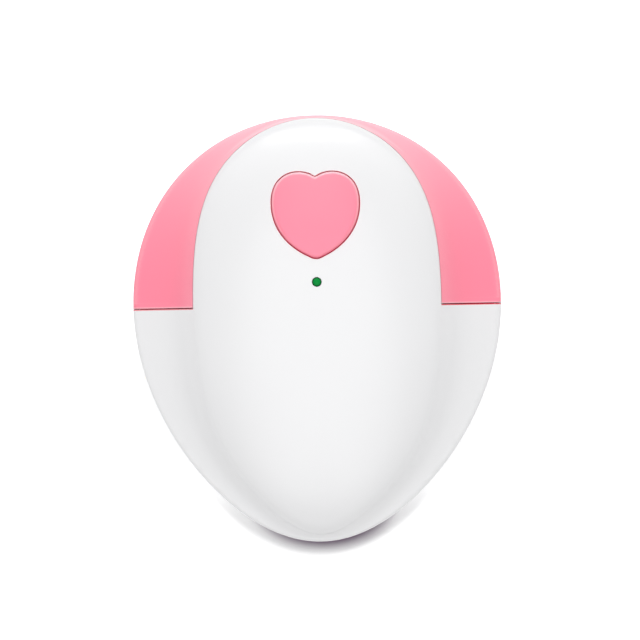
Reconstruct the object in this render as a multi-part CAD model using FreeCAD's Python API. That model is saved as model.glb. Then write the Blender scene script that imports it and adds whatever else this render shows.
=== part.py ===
import FreeCAD, Part
import math
import os
from FreeCAD import Vector

# Pocket fetal doppler monitor, lying on its probe face. Millimetres.
# +X is the user's right, +Y points to the wide end, +Z leaves the front face.
# The origin is on the resting plane, below the middle of the egg-shaped outline.

# ---------------------------------------------------------------- body form
body_length = 110.0
body_width = 94.9
probe_stand = 1.2            # how far the probe face stands out of the back
split_z = 16.0               # plane where front and back covers meet
rim_z = split_z + 5.0        # top of the upright side wall
rim_radius = 1.0
back_upright = 2.0           # straight part of the back cover's side
groove = (0.4, 0.5)          # height and depth of the line where the covers meet
wall = 2.0
back_round = 11.0            # width of the rounded edge of the back, in plan
back_power = 2.5
body_egg = (1.0, 0.13, -0.035, 0.03)

tongue_width = 63.8          # the raised oval of the front
tongue_top_margin = 0.8
tongue_tip_margin = 2.1
tongue_length = body_length - tongue_top_margin - tongue_tip_margin
tongue_centre_y = (tongue_tip_margin - tongue_top_margin) / 2
tongue_egg = (1.0, 0.054, 0.235, 0.212, -0.283)
apex_margin = 47.0           # highest point of the tongue, from the wide end
edge_rise_end = 1.5          # tongue edge above the rim at the two ends
edge_rise_side = 8.8         # and at the widest place
flank_share = 0.45           # share of that rise made by the flank's even slope
flank_power = 4.0
dome_power_tip = 2.4
dome_power_top = 4.5

# ------------------------------------------------------------ shoulder band
band_thickness = 1.6
band_edge_y = 5.6
seam = 0.25                  # visible gap between two mouldings
fit_gap = 0.1                # hidden clearance between fitted pieces
seat_wall = 1.6
band_pin_radius = 1.0
band_pin_depth = 1.2
band_pin_places = ((39.5, 13.0), (34.5, 34.0))

# ------------------------------------------------------------- power button
heart_width = 22.35
heart_height = 22.2
heart_notch = 1.45
heart_softness = 0.15
heart_top_margin = 14.9      # from the wide end
button_proud = 0.7
button_wall = 1.5
button_travel = 0.5
button_gap = 0.22
button_centre = 12.5         # the switch, from the heart's tip
button_flange = 1.0
button_stem = 2.4
button_edge = 0.9            # rounding of the button's face
hole_edge = 0.2              # and of the hole that it sits in
guide_wall = 1.0
guide_depth = 5.4

# -------------------------------------------------- indicator, switch board
indicator_gap = 6.0          # below the heart's tip
indicator_radius = 1.2
indicator_proud = 0.45
indicator_depth = 4.1
indicator_flange = 0.6
led_radius = 1.5
led_height = 5.2
switch_board_depth = 11.5    # below the top of the button
switch_board_gap = 2.9       # above the battery
switch_board_thickness = 1.4
switch_board_width = 26.0
switch_board_corner = 6.0
switch_board_margin = 7.8    # from the wide end
switch_body = 6.0
switch_body_height = 3.5
switch_plunger_radius = 1.75
switch_plunger_length = 3.3
board_screw_radius = 0.9
board_screw_head = 1.7
board_screw_head_height = 1.1
board_screw_length = 4.0
boss_radius = 2.1
switch_screw_x = 9.5
switch_screw_margins = (3.4, 2.6)    # from the board's lower and upper edges

# -------------------------------------------------------------------- probe
probe_margin = 3.6           # from the probe to the battery door
probe_radius = 19.0
probe_collar = 3.4           # width of the raised ring round the probe
probe_collar_stand = 0.6
probe_flange = 1.6
gasket_thickness = 0.5
lens_flange_thickness = 0.9
crystal_radius = 11.0
crystal_gap = 1.0
crystal_thickness = 0.8
backing_radius = 12.5
backing_thickness = 2.4
cup_height = 5.0
cup_wall = 0.8

# --------------------------------------------------------------- main board
board_thickness = 1.6
board_clearance = 1.4        # from the probe cup to the board
board_inset = 4.2
board_screw_inset = (29.0, 7.0)      # the upper pair: half their spacing, and from the board's edge
board_screw_low = (25.0, 17.0)       # the lower pair: half their spacing, and below the probe's centre
cross_slot = (0.4, 0.5)      # width per head radius, depth per head height
shield_place = (4.0, -24.0)
shield_size = (20.0, 16.0, 3.2)
chip_places = ((-10.0, 1.0, 9.0, 9.0, 1.4), (-17.0, -19.0, 6.0, 5.0, 1.5), (4.0, -24.0, 7.0, 7.0, 1.2))
capacitor_places = ((-25.0, -13.0), (-19.0, -10.0), (21.0, -17.5))
capacitor_radius = 2.5
capacitor_height = 5.4
crystal_place = (8.5, 0.0)
crystal_size = (11.0, 4.6, 3.5)
connector = (12.0, 3.0, 2.0)
ribbon_margin = 2.4          # from the board's edge
ribbon_overhang = 4.0
lead_radius = 0.5
lead_bend = 4.0
lead_rise = 3.4              # above the battery
lead_margin = 3.0            # from the board's edge
board_gap = 1.6              # from the board to the battery door

# ------------------------------------------------- headphone jacks, volume
jack_places = (-9.5, 0.3)       # along Y, in the left side wall
jack_bore = 1.8
jack_collar = 2.9
jack_body = (13.0, 6.4, 5.4)
jack_depth = 14.0
jack_recess = 0.4
wheel_y = -4.0
wheel_radius = 8.0
wheel_thickness = 2.4
wheel_recess = 0.3
wheel_teeth = 40
wheel_tooth_depth = 0.25
wheel_pin = 1.5
wheel_pin_length = 1.2
scoop_radius = 16.0
scoop_depth = 1.2
scoop_height = 6.4
pot_radius = 5.8
pot_thickness = 1.6

# ------------------------------------------------------------- battery, door
battery = (46.5, 26.5, 17.5)
bay_clearance = 0.75
snap_room = 7.5              # for the terminals and their connector, at one end
battery_foam = 0.9
battery_edge_radius = 2.0
battery_room = 0.3
terminal_pitch = 12.7
terminal_length = 2.4
snap_size = (5.0, 24.0, 12.0)
foam_pad = (36.0, 20.0)
bay_rib = 1.2
bay_rib_z = split_z - 2.5
door_length = 42.4
door_z = 10.0
door_clearance = 0.2
door_corner = 3.0
door_hook = (6.0, 2.1, 0.9)
door_hook_x = 16.0
door_latch = (10.0, 1.0, 1.8)
door_latch_gap = 0.6
grip_bars = 5
grip_bar = (20.0, 1.2)
grip_pitch = 3.0
grip_y = 25.0

# -------------------------------------------------------------- case screws
screw_radius = 1.25
screw_head = 2.4
screw_head_height = 1.6
screw_hole = 1.45
screw_bite = 5.0
screw_seat = 2.6             # from the back's outside up to the head's seat
pillar_radius = 3.3
screw_high = (28.0, 9.6)     # the pair by the wide end: from that end, and in from the outline
screw_low = (17.0, 13.5)     # the pair by the narrow end

# --------------------------------------------------------- derived places
end_y = body_length / 2
apex_y = end_y - apex_margin
heart_tip_y = end_y - heart_top_margin - heart_height
button_y = heart_tip_y + button_centre
indicator_y = heart_tip_y - indicator_gap
door_edge_y = end_y - door_length
probe_y = door_edge_y - probe_margin - probe_radius
board_edge_y = door_edge_y - board_gap
ribbon_y = board_edge_y - ribbon_margin
lead_end_y = board_edge_y - lead_margin
switch_board_y = (ribbon_y - ribbon_overhang, end_y - switch_board_margin)
switch_screw_low = switch_board_y[0] + switch_screw_margins[0]
switch_screw_high = switch_board_y[1] - switch_screw_margins[1]
switch_screw_places = (
    (-switch_screw_x, switch_screw_low), (switch_screw_x, switch_screw_low), (0.0, switch_screw_high))
board_screw_places = []
for side in (-1, 1):
    board_screw_places.append((side * board_screw_inset[0], board_edge_y - board_screw_inset[1]))
    board_screw_places.append((side * board_screw_low[0], probe_y - board_screw_low[1]))
screw_rows = ((end_y - screw_high[0], screw_high[1]), (screw_low[0] - end_y, screw_low[1]))
bay_half = (battery[0] + snap_room) / 2
battery_shift = bay_clearance - snap_room / 2
battery_y = door_edge_y + 1.0

back_z = probe_stand
floor_z = back_z + wall
lens_z = floor_z + gasket_thickness + lens_flange_thickness
cup_z = lens_z + cup_height
board_z = cup_z + board_clearance
board_top = board_z + board_thickness
jack_z = board_top + jack_body[2] / 2
wheel_z = board_top + pot_thickness + 0.2
battery_z = floor_z + battery_foam
lead_run_z = battery_z + battery[2] + lead_rise
switch_board_z = battery_z + battery[2] + switch_board_gap
body_height = switch_board_z + switch_board_depth
apex_z = body_height - button_proud
guide_z = body_height - guide_depth
indicator_foot = body_height - indicator_depth
plunger_top = switch_board_z + switch_board_thickness + switch_body_height + switch_plunger_length

ring_points = 48
angles = [2 * math.pi * i / ring_points - math.pi / 2 for i in range(ring_points)]
far = 200.0


# ------------------------------------------------------------------ helpers
def egg_peak(shape):
    samples = [math.radians(step / 4) for step in range(-360, 361)]
    return max(math.cos(a) * sum(k * math.sin(a) ** n for n, k in enumerate(shape)) for a in samples)


body_peak = egg_peak(body_egg)
tongue_peak = egg_peak(tongue_egg)


def egg_point(length, width, centre_y, shape, peak, angle):
    s = math.sin(angle)
    bulge = sum(k * s ** n for n, k in enumerate(shape)) / peak
    return Vector(width / 2 * math.cos(angle) * bulge, centre_y + length / 2 * s, 0)


def body_ring(inset=0.0, z=0.0):
    length = body_length - 2 * inset
    width = body_width - 2 * inset
    return [egg_point(length, width, 0, body_egg, body_peak, a) + Vector(0, 0, z) for a in angles]


def tongue_ring(inset=0.0, z=0.0):
    length = tongue_length - 2 * inset
    width = tongue_width - 2 * inset
    centre = tongue_centre_y
    return [egg_point(length, width, centre, tongue_egg, tongue_peak, a) + Vector(0, 0, z) for a in angles]


def side_x(y):
    """Half the width of the body at a place along its length."""
    return egg_point(body_length, body_width, 0, body_egg, body_peak, math.asin(2 * y / body_length)).x


def skin(rings):
    """A smooth face through closed rings."""
    count = len(rings[0])
    steps = [i / count for i in range(count + 1)]
    rows = []
    for ring in rings:
        row = Part.BSplineCurve()
        row.interpolate(Points=ring, PeriodicFlag=True, Parameters=steps)
        rows.append(row)
    reach = [0.0]
    for near, next_ring in zip(rings, rings[1:]):
        reach.append(reach[-1] + sum((p - q).Length for p, q in zip(near, next_ring)) / count)
    steps = [r / reach[-1] for r in reach]
    columns = []
    for index in range(rows[0].NbPoles):
        poles = [row.getPole(index + 1) for row in rows]
        column = Part.BSplineCurve()
        column.interpolate(Points=poles, Parameters=steps)
        columns.append(column)
    grid = [[c.getPole(i + 1) for i in range(c.NbPoles)] for c in columns]
    row = rows[0]
    column = columns[0]
    surface = Part.BSplineSurface()
    surface.buildFromPolesMultsKnots(
        grid, row.getMultiplicities(), column.getMultiplicities(), row.getKnots(), column.getKnots(),
        True, False, row.Degree, column.Degree)
    return surface.toShape()


def closed_skin(rings, level):
    """The solid under a skin: its first ring goes straight on to the height level."""
    face = skin(rings)
    first = rings[0][0].z
    loops = [edge for edge in face.Edges if edge.isClosed()]
    loops.sort(key=lambda edge: abs(edge.BoundBox.Center.z - first))
    side = loops[0].extrude(Vector(0, 0, level - first))
    end = loops[0].translated(Vector(0, 0, level - first))
    faces = [face, side, Part.Face(Part.Wire(end)), Part.Face(Part.Wire(loops[-1]))]
    shell = Part.Shell(faces)
    shell.sewShape()
    solid = Part.Solid(shell)
    if solid.Volume < 0:
        solid.reverse()
    return solid


def front_skin(inset, level):
    """Front of the body, moved in and down by inset, on an upright wall that starts at level."""
    outline = body_ring(inset)
    crest = tongue_ring(inset)
    gaps = [(b - t).Length for b, t in zip(outline, crest)]
    widest = max(gaps)
    rim = rim_z - inset
    apex = apex_z - inset
    rings = []

    def rise(gap):
        return edge_rise_end + (edge_rise_side - edge_rise_end) * gap / widest

    def station(share, height):
        rings.append([b + (t - b) * share(g) + Vector(0, 0, height(g))
                      for b, t, g in zip(outline, crest, gaps)])

    def turn(gap):
        return rim_radius / (gap + rim_radius)

    for below in (2.0, 1.2, 0.6, 0.2):
        station(lambda g: 0, lambda g: rim - rim_radius - below)
    for degrees in (0, 20, 45, 70):
        c = math.cos(math.radians(degrees))
        s = math.sin(math.radians(degrees))
        station(lambda g: turn(g) * (1 - c), lambda g: rim - rim_radius * (1 - s))
    for t in (0.06, 0.18, 0.32, 0.46, 0.6, 0.72, 0.82, 0.91, 1.0):
        climb = flank_share * t + (1 - flank_share) * t ** flank_power
        station(lambda g: turn(g) + (1 - turn(g)) * t, lambda g: rim + rise(g) * climb)
    for r in (0.985, 0.95, 0.9, 0.83, 0.74, 0.62, 0.48, 0.32, 0.16, 0.05):
        ring = []
        for a, t, g in zip(angles, crest, gaps):
            power = dome_power_tip + (dome_power_top - dome_power_tip) * ((1 + math.sin(a)) / 2) ** 2
            foot = rim + rise(g)
            height = foot + (apex - foot) * (1 - r ** power) ** (2 / 3)
            if r < 0.06:
                height = apex
            ring.append(Vector(t.x * r, apex_y + (t.y - apex_y) * r, height))
        rings.append(ring)
    return closed_skin(rings, level)


def back_skin(inset, level):
    """Back of the body, moved in and up by inset, with its side carried up to level."""
    turn = back_round - inset
    upper = split_z - back_upright
    depth = upper - back_z - inset
    rings = [body_ring(inset, upper + above) for above in (1.8, 1.0, 0.4)]
    for degrees in (0, 12, 24, 36, 46, 56, 65, 73, 80, 86, 90):
        c = max(0.0, math.cos(math.radians(degrees))) ** (2 / back_power)
        s = math.sin(math.radians(degrees)) ** (2 / back_power)
        if degrees == 90:
            c = 0.0
        rings.append(body_ring(inset + turn * (1 - c), upper - depth * s))
    return closed_skin(rings, level)


def cylinder(x, y, radius, z0, z1):
    return Part.makeCylinder(radius, z1 - z0, Vector(x, y, z0))


def tube(x, y, outer, inner, z0, z1):
    return cylinder(x, y, outer, z0, z1).cut(cylinder(x, y, inner, z0 - 1, z1 + 1))


def block(x0, x1, y0, y1, z0, z1):
    return Part.makeBox(x1 - x0, y1 - y0, z1 - z0, Vector(x0, y0, z0))


def chip(x, y, z, size, radius=0.0):
    """A box that stands on height z, centred over a place, with its upright edges rounded."""
    w, d, h = size
    shape = block(x - w / 2, x + w / 2, y - d / 2, y + d / 2, z, z + h)
    if radius:
        upright = [e for e in shape.Edges if e.BoundBox.ZLength > h / 2]
        shape = shape.makeFillet(radius, upright)
    return shape


def prism(wire, z0, z1):
    face = Part.Face(wire)
    face.translate(Vector(0, 0, z0 - wire.BoundBox.ZMin))
    return face.extrude(Vector(0, 0, z1 - z0))


def loop(points):
    curve = Part.BSplineCurve()
    curve.interpolate(Points=points, PeriodicFlag=True)
    return Part.Wire(curve.toShape())


def joined(shapes):
    return shapes[0].fuse(list(shapes[1:]))


# ------------------------------------------------------------- front cover
deep = band_thickness + fit_gap + seat_wall
low = split_z - 2.0


def band_zone(margin):
    """The upper half of the front outside the tongue, shrunk by margin."""
    start = Vector(-far / 2, band_edge_y + margin, split_z + margin)
    return Part.makeBox(far, far, far, start).cut(prism(loop(tongue_ring(-margin)), 0, far))


def heart(margin, z0, z1):
    """A heart-shaped prism, grown by margin, with a softened tip and notch."""
    half = heart_width / 2
    lobe_y = 0.645 * heart_height
    lobe = Part.BezierCurve()
    lobe.setPoles([Vector(0, heart_height - heart_notch, 0), Vector(0.28 * half, 1.054 * heart_height, 0),
                   Vector(half, 1.036 * heart_height, 0), Vector(half, lobe_y, 0)])
    flank = Part.BezierCurve()
    flank.setPoles([Vector(half, lobe_y, 0), Vector(half, 0.316 * heart_height, 0),
                    Vector(0.55 * half, 0.1 * heart_height, 0), Vector(0, 0, 0)])
    right = []
    for curve in (lobe, flank):
        for step in range(14):
            t = (step + 0.5) / 14
            along = curve.tangent(t)[0]
            place = curve.value(t) + Vector(-along.y, along.x, 0) * margin
            if place.x > heart_softness:
                right.append(place + Vector(0, heart_tip_y, 0))
    left = [Vector(-p.x, p.y, 0) for p in reversed(right)]
    return prism(loop(right + left), z0, z1)


def screw(x, y, z, radius, length, head, height, up=1):
    """A cross-head screw whose head sits on height z; its shank points up or down."""
    cap = cylinder(0, 0, head, -height, 0)
    cap = cap.makeFillet(height * 0.35, [e for e in cap.Edges if abs(e.BoundBox.ZMax + height) < 0.01])
    slot = head * cross_slot[0] / 2
    reach = head * 0.65
    depth = height * cross_slot[1]
    cap = cap.cut(block(-reach, reach, -slot, slot, -height - 1, depth - height))
    cap = cap.cut(block(-slot, slot, -reach, reach, -height - 1, depth - height))
    shape = cap.fuse(cylinder(0, 0, radius, 0, length))
    if up < 0:
        shape.rotate(Vector(0, 0, 0), Vector(1, 0, 0), 180)
    shape.translate(Vector(x, y, z))
    return shape


def lead(points, radius, bend):
    """A round wire along straight runs joined by arcs of radius bend."""
    edges = []
    start = points[0]
    for before, corner, after in zip(points, points[1:], points[2:]):
        arrive = (corner - before).normalize()
        leave = (after - corner).normalize()
        first = corner - arrive * bend
        last = corner + leave * bend
        middle = corner + (leave - arrive) * bend * (1 - math.sqrt(0.5))
        edges.append(Part.makeLine(start, first))
        edges.append(Part.Arc(first, middle, last).toShape())
        start = last
    edges.append(Part.makeLine(start, points[-1]))
    circle = Part.makeCircle(radius, points[0], points[1] - points[0])
    return Part.Wire(edges).makePipeShell([Part.Wire(circle)], True, False)


def across(y, z, radius, x0, x1):
    """A cylinder along X."""
    return Part.makeCylinder(radius, x1 - x0, Vector(x0, y, z), Vector(1, 0, 0))


outer = front_skin(0, split_z)
seat = front_skin(band_thickness + fit_gap, split_z)
room = front_skin(wall, low).cut(band_zone(-seat_wall)).fuse(front_skin(deep, low))

screw_places = []
for y, margin in screw_rows:
    for side in (-1, 1):
        screw_places.append((side * (side_x(y) - margin), y))

bosses = [cylinder(x, y, pillar_radius - 0.3, split_z, far) for x, y in screw_places]
bosses += [cylinder(x, y, boss_radius, switch_board_z + switch_board_thickness, far) for x, y in switch_screw_places]
guide = heart(button_gap + guide_wall, guide_z, far)
pipe = cylinder(0, indicator_y, indicator_radius + guide_wall, indicator_foot, far)
room = room.cut(joined(bosses + [guide, pipe]))

front_cover = outer.cut(band_zone(0)).fuse(seat).cut(room)
holes = [heart(button_gap, low, far), cylinder(0, indicator_y, indicator_radius + fit_gap / 2, low, far)]
for x, y in screw_places:
    holes.append(cylinder(x, y, screw_radius + 0.05, low, split_z + screw_bite + 0.5))
for x, y in switch_screw_places:
    top = switch_board_z + switch_board_thickness + board_screw_length
    holes.append(cylinder(x, y, board_screw_radius + 0.05, low, top))
pin_holes = []
pins = []
for x, y in band_pin_places:
    for side in (-1, 1):
        pin_holes.append(cylinder(side * x, y, band_pin_radius + fit_gap, low, far))
        pins.append(cylinder(side * x, y, band_pin_radius, low, far))
front_cover = front_cover.cut(joined(holes))

# ------------------------------------------------------------ shoulder band
shoulder_band = outer.common(band_zone(seam)).cut(front_skin(band_thickness, low))
floor_of_pins = front_skin(band_thickness + band_pin_depth, low)
floor_of_holes = front_skin(band_thickness + band_pin_depth + fit_gap, low)
shoulder_band = shoulder_band.fuse(outer.common(joined(pins)).cut(floor_of_pins).common(band_zone(seam)))
front_cover = front_cover.cut(outer.common(joined(pin_holes)).cut(floor_of_holes))



def heart_edges(shape, margin):
    """The heart-shaped edges of a shape's face, where the outline is grown by margin."""
    width = heart_width + 2 * margin
    found = []
    for edge in shape.Edges:
        box = edge.BoundBox
        if box.ZMin > guide_z + 2 and abs(box.XLength - width) < 0.1 and box.ZLength > 0.5:
            found.append(edge)
    return found


# ------------------------------------------------------------- power button
flange_top = guide_z - fit_gap
flange_low = flange_top - button_flange
lid = front_skin(0, low).translated(Vector(0, 0, button_proud))
hollow = front_skin(0, low).translated(Vector(0, 0, button_proud - button_wall))
hollow = hollow.common(heart(-button_wall, low, far))
hollow = hollow.cut(cylinder(0, button_y, button_stem, plunger_top + fit_gap, far))
power_button = heart(0, flange_low, far).fuse(heart(button_gap + button_flange, flange_low, flange_top))
power_button = power_button.common(lid).cut(hollow)
power_button = power_button.makeFillet(button_edge, heart_edges(power_button, 0))
front_cover = front_cover.makeFillet(hole_edge, heart_edges(front_cover, button_gap))

# --------------------------------------------------- indicator and switch
switch_top = switch_board_z + switch_board_thickness
led_top = switch_top + led_height
lens_low = indicator_foot - indicator_flange - fit_gap / 2
indicator_lens = cylinder(0, indicator_y, indicator_radius, lens_low, apex_z + indicator_proud)
indicator_lens = indicator_lens.makeFillet(
    indicator_radius * 0.45, [e for e in indicator_lens.Edges if e.BoundBox.ZMin > apex_z])
indicator_lens = indicator_lens.fuse(
    cylinder(0, indicator_y, indicator_radius + indicator_flange, lens_low, lens_low + indicator_flange))
indicator_led = joined([
    cylinder(0, indicator_y, led_radius + 0.3, switch_top, switch_top + 0.8),
    cylinder(0, indicator_y, led_radius, switch_top, led_top - led_radius),
    Part.makeSphere(led_radius, Vector(0, indicator_y, led_top - led_radius))])

body_top = switch_top + switch_body_height
plunger_low = body_top - switch_plunger_radius
tact_switch = chip(0, button_y, switch_top, (switch_body, switch_body, switch_body_height))
tact_switch = tact_switch.cut(
    cylinder(0, button_y, switch_plunger_radius + 0.05, plunger_low - button_travel - fit_gap, far))
switch_plunger = cylinder(0, button_y, switch_plunger_radius, plunger_low, plunger_top)

low_y, high_y = switch_board_y
size = (switch_board_width, high_y - low_y, switch_board_thickness)
switch_board = chip(0, (low_y + high_y) / 2, switch_board_z, size, switch_board_corner)
switch_board_screws = []
for x, y in switch_screw_places:
    switch_board = switch_board.cut(cylinder(x, y, board_screw_radius + 0.1, low, far))
    switch_board_screws.append(screw(
        x, y, switch_board_z, board_screw_radius, switch_board_thickness + board_screw_length - 0.3,
        board_screw_head, board_screw_head_height))

# -------------------------------------------------------------------- probe
probe_hole = probe_radius + 0.15
flange_radius = probe_radius + probe_flange
flange_z = floor_z + gasket_thickness
probe_lens = cylinder(0, probe_y, probe_radius, 0, lens_z)
probe_lens = probe_lens.makeFillet(0.5, [e for e in probe_lens.Edges if e.BoundBox.ZMax < 0.01])
probe_lens = probe_lens.fuse(cylinder(0, probe_y, flange_radius, flange_z, lens_z))
probe_gasket = tube(0, probe_y, flange_radius, probe_hole, floor_z, flange_z)
disc = cylinder(0, probe_y, crystal_radius, lens_z, lens_z + crystal_thickness)
half = crystal_gap / 2
transmit_crystal = disc.common(block(-far, -half, -far, far, 0, far))
receive_crystal = disc.common(block(half, far, -far, far, 0, far))
backing_z = lens_z + crystal_thickness
backing_top = backing_z + backing_thickness
half = half - 0.1
probe_septum = block(-half, half, probe_y - crystal_radius, probe_y + crystal_radius, lens_z, backing_top)
slot = block(-half, half, probe_y - far, probe_y + far, lens_z, far)
probe_backing = cylinder(0, probe_y, backing_radius, backing_z, backing_top).cut(slot)
probe_cup = cylinder(0, probe_y, flange_radius, lens_z, cup_z)
probe_cup = probe_cup.cut(cylinder(0, probe_y, flange_radius - cup_wall, lens_z - 1, cup_z - cup_wall))
probe_leads = []
for side in (-1, 1):
    x = side * crystal_radius / 2
    probe_cup = probe_cup.cut(cylinder(x, probe_y, lead_radius + 0.2, 0, far))
    probe_leads.append(cylinder(x, probe_y, lead_radius, backing_top, board_z))

# --------------------------------------------------------------- main board
main_board = prism(loop(body_ring(board_inset)), board_z, board_top)
main_board = main_board.common(block(-far, far, -far, board_edge_y, 0, far))
for x, y in screw_places:
    main_board = main_board.cut(cylinder(x, y, pillar_radius + 0.4, 0, far))
main_board_screws = []
for x, y in board_screw_places:
    main_board = main_board.cut(cylinder(x, y, board_screw_radius + 0.1, 0, far))
    main_board_screws.append(screw(
        x, y, board_top, board_screw_radius, board_thickness + board_screw_length,
        board_screw_head, board_screw_head_height, -1))

shield_can = chip(*shield_place, board_top, shield_size, 0.8)
w, d, h = shield_size
shield_can = shield_can.cut(chip(*shield_place, board_top - 1, (w - 0.6, d - 0.6, h + 0.7)))
control_chips = [chip(x, y, board_top, (w, d, h)) for x, y, w, d, h in chip_places]
capacitors = []
for x, y in capacitor_places:
    can = cylinder(x, y, capacitor_radius, board_top, board_top + capacitor_height)
    capacitors.append(can.makeFillet(0.4, [e for e in can.Edges if e.BoundBox.ZMin > board_top + 1]))
crystal_can = chip(*crystal_place, board_top, crystal_size, crystal_size[1] * 0.49)

w, d, h = connector
ribbon_connectors = [chip(0, ribbon_y, board_top, connector), chip(0, ribbon_y, switch_board_z - h, connector)]
ribbon_cable = block(-w * 0.4, w * 0.4, ribbon_y - 0.25, ribbon_y + 0.25, board_top + h, switch_board_z - h)

# ------------------------------------------------------------ jacks, volume
jack_bodies = []
jack_collars = []
side_holes = []
w, d, h = jack_body
for y in jack_places:
    mouth = -side_x(y) + jack_recess
    inside = -side_x(y) + wall + 1.0
    bore = across(y, jack_z, jack_bore, mouth - 1, mouth + jack_depth)
    body = block(inside, inside + w, y - d / 2, y + d / 2, board_top, board_top + h)
    jack_bodies.append(body.cut(bore))
    jack_collars.append(across(y, jack_z, jack_collar, mouth, inside).cut(bore))
    side_holes.append(across(y, jack_z, jack_collar + 0.15, -far, inside))

wheel_x = side_x(wheel_y) - wheel_recess - wheel_radius
wheel_top = wheel_z + wheel_thickness
points = []
for tooth in range(wheel_teeth):
    for share, radius in ((0, wheel_radius), (0.45, wheel_radius), (0.6, wheel_radius - wheel_tooth_depth),
                          (0.85, wheel_radius - wheel_tooth_depth)):
        a = 2 * math.pi * (tooth + share) / wheel_teeth
        points.append(Vector(wheel_x + radius * math.cos(a), wheel_y + radius * math.sin(a), wheel_z))
volume_wheel = prism(Part.makePolygon(points + points[:1]), wheel_z, wheel_top)
volume_wheel = volume_wheel.fuse(cylinder(wheel_x, wheel_y, wheel_pin, wheel_z - wheel_pin_length, wheel_z))
volume_potentiometer = cylinder(wheel_x, wheel_y, pot_radius, board_top, board_top + pot_thickness)
volume_potentiometer = volume_potentiometer.cut(
    cylinder(wheel_x, wheel_y, wheel_pin + 0.06, wheel_z - wheel_pin_length - 0.1, far))
wheel_room = wheel_radius + 0.35
side_holes.append(cylinder(wheel_x, wheel_y, wheel_room, wheel_z - 0.25, wheel_top + 0.25))
middle = wheel_z + wheel_thickness / 2
scoop_x = side_x(wheel_y) + scoop_radius - scoop_depth
side_holes.append(cylinder(scoop_x, wheel_y, scoop_radius, middle - scoop_height / 2, middle + scoop_height / 2))
height, depth = groove
groove_ring = prism(loop(body_ring(-1)), split_z - height / 2, split_z + height / 2)
groove_ring = groove_ring.cut(prism(loop(body_ring(depth)), 0, far))
front_cover = front_cover.cut(joined(side_holes)).cut(groove_ring)

# --------------------------------------------------------------- back cover
screw_seat_z = back_z + screw_seat
back_body = back_skin(0, split_z)
back_room = back_skin(wall, split_z + 1)
back_shell = back_body.cut(back_room)


def door_zone(margin):
    """The part of the back that the battery door takes, shrunk by margin."""
    half_width = bay_half - margin
    zone = block(-half_width, half_width, door_edge_y + margin, far, -1, door_z - margin)
    front = [e for e in zone.Edges if e.BoundBox.ZLength > 1 and e.BoundBox.YMax < far / 2]
    return zone.makeFillet(door_corner - margin, front)


reach_y = battery_y + battery[1] + 0.8
bay = block(-bay_half - bay_rib, bay_half + bay_rib, door_edge_y - bay_rib, reach_y + bay_rib, 0, bay_rib_z)
bay = bay.cut(block(-bay_half, bay_half, door_edge_y, reach_y, -1, far))
bay = bay.cut(block(-bay_half, bay_half, door_edge_y, far, -1, floor_z + 1.2))
keep = [bay]
keep.append(tube(0, probe_y, flange_radius + fit_gap + 1.2, flange_radius + fit_gap, 0, cup_z - 0.5))
for x, y in screw_places:
    keep.append(cylinder(x, y, pillar_radius, 0, split_z))
for x, y in board_screw_places:
    keep.append(cylinder(x, y, boss_radius, 0, board_z))
back_cover = back_body.fuse(
    tube(0, probe_y, probe_radius + probe_collar, probe_hole, back_z - probe_collar_stand, floor_z))
back_cover = back_cover.cut(back_room.cut(joined(keep)))
holes = [cylinder(0, probe_y, probe_hole, -1, floor_z + 1), door_zone(0)]
for x, y in screw_places:
    holes.append(cylinder(x, y, screw_hole, 0, split_z + 1))
    holes.append(cylinder(x, y, screw_head + 0.3, 0, screw_seat_z))
for x, y in board_screw_places:
    holes.append(cylinder(x, y, board_screw_radius + 0.05, board_z - board_screw_length - 0.3, far))
w, d, h = door_hook
for side in (-1, 1):
    x = side * door_hook_x
    holes.append(block(x - w / 2 - 0.3, x + w / 2 + 0.3, door_edge_y - d - 0.3, door_edge_y + 1,
                       floor_z - h - 0.25, floor_z + 3))
back_cover = back_cover.cut(joined(holes)).cut(joined(side_holes)).cut(groove_ring)

case_screws = []
for x, y in screw_places:
    case_screws.append(screw(
        x, y, screw_seat_z, screw_radius, split_z + screw_bite - screw_seat_z, screw_head, screw_head_height))

# ------------------------------------------------------------- battery door
door = [back_shell.common(door_zone(door_clearance))]
for side in (-1, 1):
    x = side * door_hook_x
    door.append(block(x - w / 2, x + w / 2, door_edge_y - d, door_edge_y + 1.5, floor_z - h, floor_z))
for index in range(grip_bars):
    y = grip_y + index * grip_pitch
    long, broad = grip_bar
    bar = block(-long / 2, long / 2, y - broad / 2, y + broad / 2, 0, back_z + 0.5)
    door.append(bar.makeFillet(0.3, [e for e in bar.Edges if e.BoundBox.ZMax < 0.01]))
w, d, h = door_latch
latch_y = body_length / 2 - wall - door_latch_gap
door.append(block(-w / 2, w / 2, latch_y - d, latch_y, door_z - 3, door_z + h))
root = block(-w / 2, w / 2, latch_y - d, far, door_z - 3, door_z - 2 * door_clearance)
door.append(root.common(back_body))
battery_door = joined(door)

# ------------------------------------------------------------------ battery
w, d, h = battery
battery_end = battery_shift + w / 2
middle_y = battery_y + d / 2
middle_z = battery_z + h / 2


def cell(margin):
    """The battery's outline, grown by margin."""
    shape = block(battery_end - w - margin, battery_end + margin, battery_y - margin, battery_y + d + margin,
                  battery_z - margin, battery_z + h + margin)
    return shape.makeFillet(battery_edge_radius, [e for e in shape.Edges if e.BoundBox.XLength > 1])


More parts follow.
